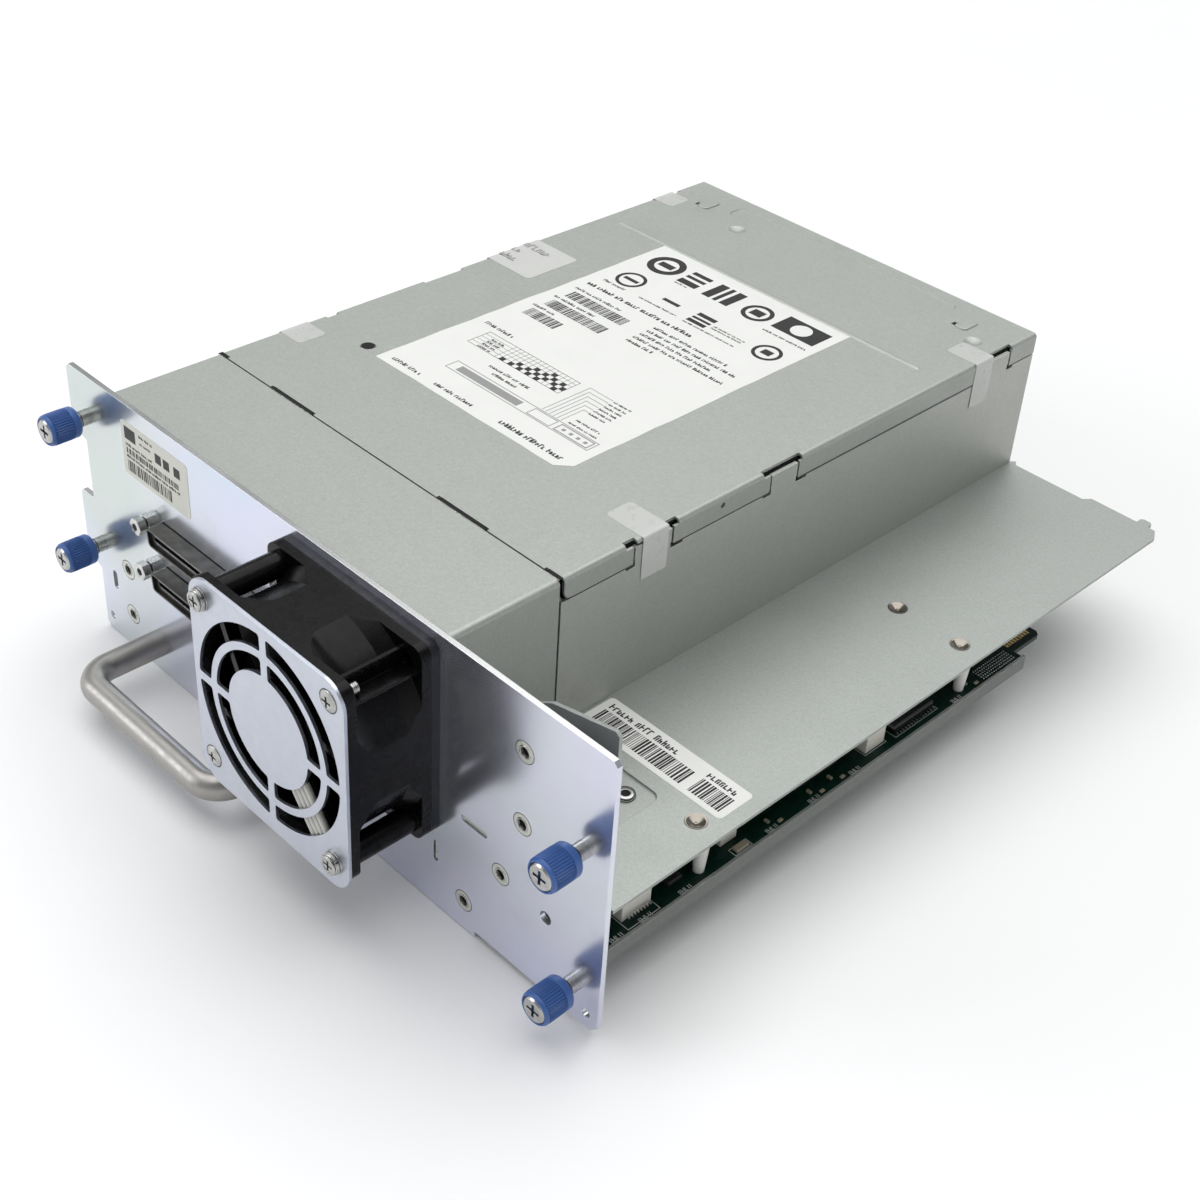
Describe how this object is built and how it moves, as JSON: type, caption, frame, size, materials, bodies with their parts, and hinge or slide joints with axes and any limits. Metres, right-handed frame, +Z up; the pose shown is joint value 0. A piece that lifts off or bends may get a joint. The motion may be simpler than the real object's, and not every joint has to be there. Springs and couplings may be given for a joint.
{
  "type": "data tape drive",
  "caption": "Full-height tape drive on a rack module panel with a cooling fan, handle, captive screws, host receptacles and a side controller board.",
  "frame": {"origin": "middle of the module's outer size, on the plane it stands on", "axes": "+X right along the panel, +Y from the panel back along the drive, +Z up"},
  "size_m": [0.221, 0.2824, 0.0885],
  "materials": {
    "panel_zinc": "bright zinc plate",
    "grey_steel": "dull galvanised sheet",
    "tub_steel": "dull galvanised sheet",
    "wing_steel": "dull galvanised sheet",
    "guard_zinc": "satin zinc plate",
    "screw_zinc": "bright zinc plate",
    "handle_aluminium": "satin anodised",
    "knob_blue": "satin moulding",
    "fan_black": "fine matt moulding",
    "rotor_black": "satin moulding",
    "adaptor_grey": "matt moulding",
    "wire_sleeve": "insulated wire",
    "shell_bronze": "dull nickel",
    "insert_black": "glass-filled moulding",
    "jack_steel": "dull nickel",
    "board_green": "solder resist",
    "connector_white": "nylon moulding",
    "chip_black": "moulded package",
    "post_white": "nylon moulding",
    "bezel_black": "fine matt moulding",
    "door_grey": "fine matt moulding",
    "cast_alloy": "as cast",
    "motor_steel": "plated steel",
    "hub_steel": "machined",
    "reel_white": "smooth moulding",
    "roller_steel": "polished",
    "post_steel": "ground",
    "head_alloy": "machined",
    "magnet_iron": "nickel plated",
    "arm_steel": "pressed",
    "carriage_steel": "zinc plate"
  },
  "bodies": {
    "module": {"front_panel": "panel_zinc", "panel_standoffs": "screw_zinc", "standoff_screws": "screw_zinc", "handle": "handle_aluminium", "handle_screws": "screw_zinc", "thumbscrew_sleeves": "screw_zinc", "receptacle_shells": "shell_bronze", "receptacle_inserts": "insert_black", "receptacle_jackscrews": "jack_steel", "receptacle_board": "board_green", "fan_adaptor": "adaptor_grey", "fan_frame": "fan_black", "fan_leads": "wire_sleeve", "fan_guard": "guard_zinc", "fan_long_screws": "screw_zinc", "fan_washers": "screw_zinc", "fan_short_screws": "screw_zinc", "front_shroud": "grey_steel", "drive_chassis": "tub_steel", "drive_cover": "grey_steel", "mouth_bezel": "bezel_black", "door_pin": "post_steel", "sled_floor": "wing_steel", "wing_cover": "wing_steel", "wing_rivets": "screw_zinc", "wing_tray": "wing_steel", "wing_screws": "screw_zinc", "controller_board": "board_green", "board_posts": "post_white", "board_connectors": "connector_white", "board_chips": "chip_black", "mechanism_base": "cast_alloy", "reel_motors": "motor_steel", "guide_posts": "post_steel", "head_rods": "post_steel", "head_magnet": "magnet_iron", "drive_logic_board": "board_green"},
    "impeller": {"fan_impeller": "rotor_black"},
    "thumbscrew_1_keeper": {"thumbscrew_1_washer": "screw_zinc"},
    "thumbscrew_1": {"thumbscrew_1_screw": "screw_zinc", "thumbscrew_1_knob": "knob_blue"},
    "thumbscrew_2_keeper": {"thumbscrew_2_washer": "screw_zinc"},
    "thumbscrew_2": {"thumbscrew_2_screw": "screw_zinc", "thumbscrew_2_knob": "knob_blue"},
    "thumbscrew_3_keeper": {"thumbscrew_3_washer": "screw_zinc"},
    "thumbscrew_3": {"thumbscrew_3_screw": "screw_zinc", "thumbscrew_3_knob": "knob_blue"},
    "thumbscrew_4_keeper": {"thumbscrew_4_washer": "screw_zinc"},
    "thumbscrew_4": {"thumbscrew_4_screw": "screw_zinc", "thumbscrew_4_knob": "knob_blue"},
    "door": {"cartridge_door": "door_grey"},
    "loader": {"loader_carriage": "carriage_steel"},
    "supply": {"supply_hub": "hub_steel"},
    "takeup": {"takeup_reel": "reel_white"},
    "roller_1": {"guide_roller_1": "roller_steel"},
    "roller_2": {"guide_roller_2": "roller_steel"},
    "roller_3": {"guide_roller_3": "roller_steel"},
    "roller_4": {"guide_roller_4": "roller_steel"},
    "head": {"head_carriage": "head_alloy"},
    "threader": {"threader_arm": "arm_steel"}
  },
  "joints": [
    {"name": "impeller_spin", "type": "hinge", "parent": "module", "child": "impeller", "pos_m": [0.0222, -0.12575, 0.0561], "axis": [0, 1, 0], "continuous": true},
    {"name": "thumbscrew_1_push", "type": "slide", "parent": "module", "child": "thumbscrew_1_keeper", "axis": [0, 1, 0], "range_m": [0, 0.0037]},
    {"name": "thumbscrew_1_turn", "type": "hinge", "parent": "thumbscrew_1_keeper", "child": "thumbscrew_1", "pos_m": [-0.1015, -0.11875, 0.0748], "axis": [0, 1, 0], "continuous": true},
    {"name": "thumbscrew_2_push", "type": "slide", "parent": "module", "child": "thumbscrew_2_keeper", "axis": [0, 1, 0], "range_m": [0, 0.0037]},
    {"name": "thumbscrew_2_turn", "type": "hinge", "parent": "thumbscrew_2_keeper", "child": "thumbscrew_2", "pos_m": [-0.1015, -0.11875, 0.0314], "axis": [0, 1, 0], "continuous": true},
    {"name": "thumbscrew_3_push", "type": "slide", "parent": "module", "child": "thumbscrew_3_keeper", "axis": [0, 1, 0], "range_m": [0, 0.0037]},
    {"name": "thumbscrew_3_turn", "type": "hinge", "parent": "thumbscrew_3_keeper", "child": "thumbscrew_3", "pos_m": [0.102, -0.11875, 0.0574], "axis": [0, 1, 0], "continuous": true},
    {"name": "thumbscrew_4_push", "type": "slide", "parent": "module", "child": "thumbscrew_4_keeper", "axis": [0, 1, 0], "range_m": [0, 0.0037]},
    {"name": "thumbscrew_4_turn", "type": "hinge", "parent": "thumbscrew_4_keeper", "child": "thumbscrew_4", "pos_m": [0.102, -0.11875, 0.014], "axis": [0, 1, 0], "continuous": true},
    {"name": "door_swing", "type": "hinge", "parent": "module", "child": "door", "pos_m": [-0.0235, 0.12945, 0.057], "axis": [-1, 0, 0], "range_deg": [0, 80], "stiffness_Nm_per_rad": 0.002, "springref_deg": -11.46},
    {"name": "loader_slide", "type": "slide", "parent": "module", "child": "loader", "axis": [0, 1, 0], "range_m": [0, 0.018]},
    {"name": "supply_spin", "type": "hinge", "parent": "module", "child": "supply", "pos_m": [-0.0235, 0.05825, 0.025], "axis": [0, 0, 1], "continuous": true},
    {"name": "takeup_spin", "type": "hinge", "parent": "module", "child": "takeup", "pos_m": [-0.0165, -0.02975, 0.03], "axis": [0, 0, 1], "continuous": true},
    {"name": "roller_1_spin", "type": "hinge", "parent": "module", "child": "roller_1", "pos_m": [-0.0805, -0.00075, 0.036], "axis": [0, 0, 1], "continuous": true},
    {"name": "roller_2_spin", "type": "hinge", "parent": "module", "child": "roller_2", "pos_m": [-0.0855, -0.01275, 0.036], "axis": [0, 0, 1], "continuous": true},
    {"name": "roller_3_spin", "type": "hinge", "parent": "module", "child": "roller_3", "pos_m": [-0.0855, -0.04275, 0.036], "axis": [0, 0, 1], "continuous": true},
    {"name": "roller_4_spin", "type": "hinge", "parent": "module", "child": "roller_4", "pos_m": [-0.0765, -0.05675, 0.036], "axis": [0, 0, 1], "continuous": true},
    {"name": "head_step", "type": "slide", "parent": "module", "child": "head", "axis": [0, 0, 1], "range_m": [-0.0015, 0.0015]},
    {"name": "threader_swing", "type": "hinge", "parent": "module", "child": "threader", "pos_m": [-0.0465, -0.00275, 0.049], "axis": [0, 0, 1], "range_deg": [0, 100]}
  ]
}
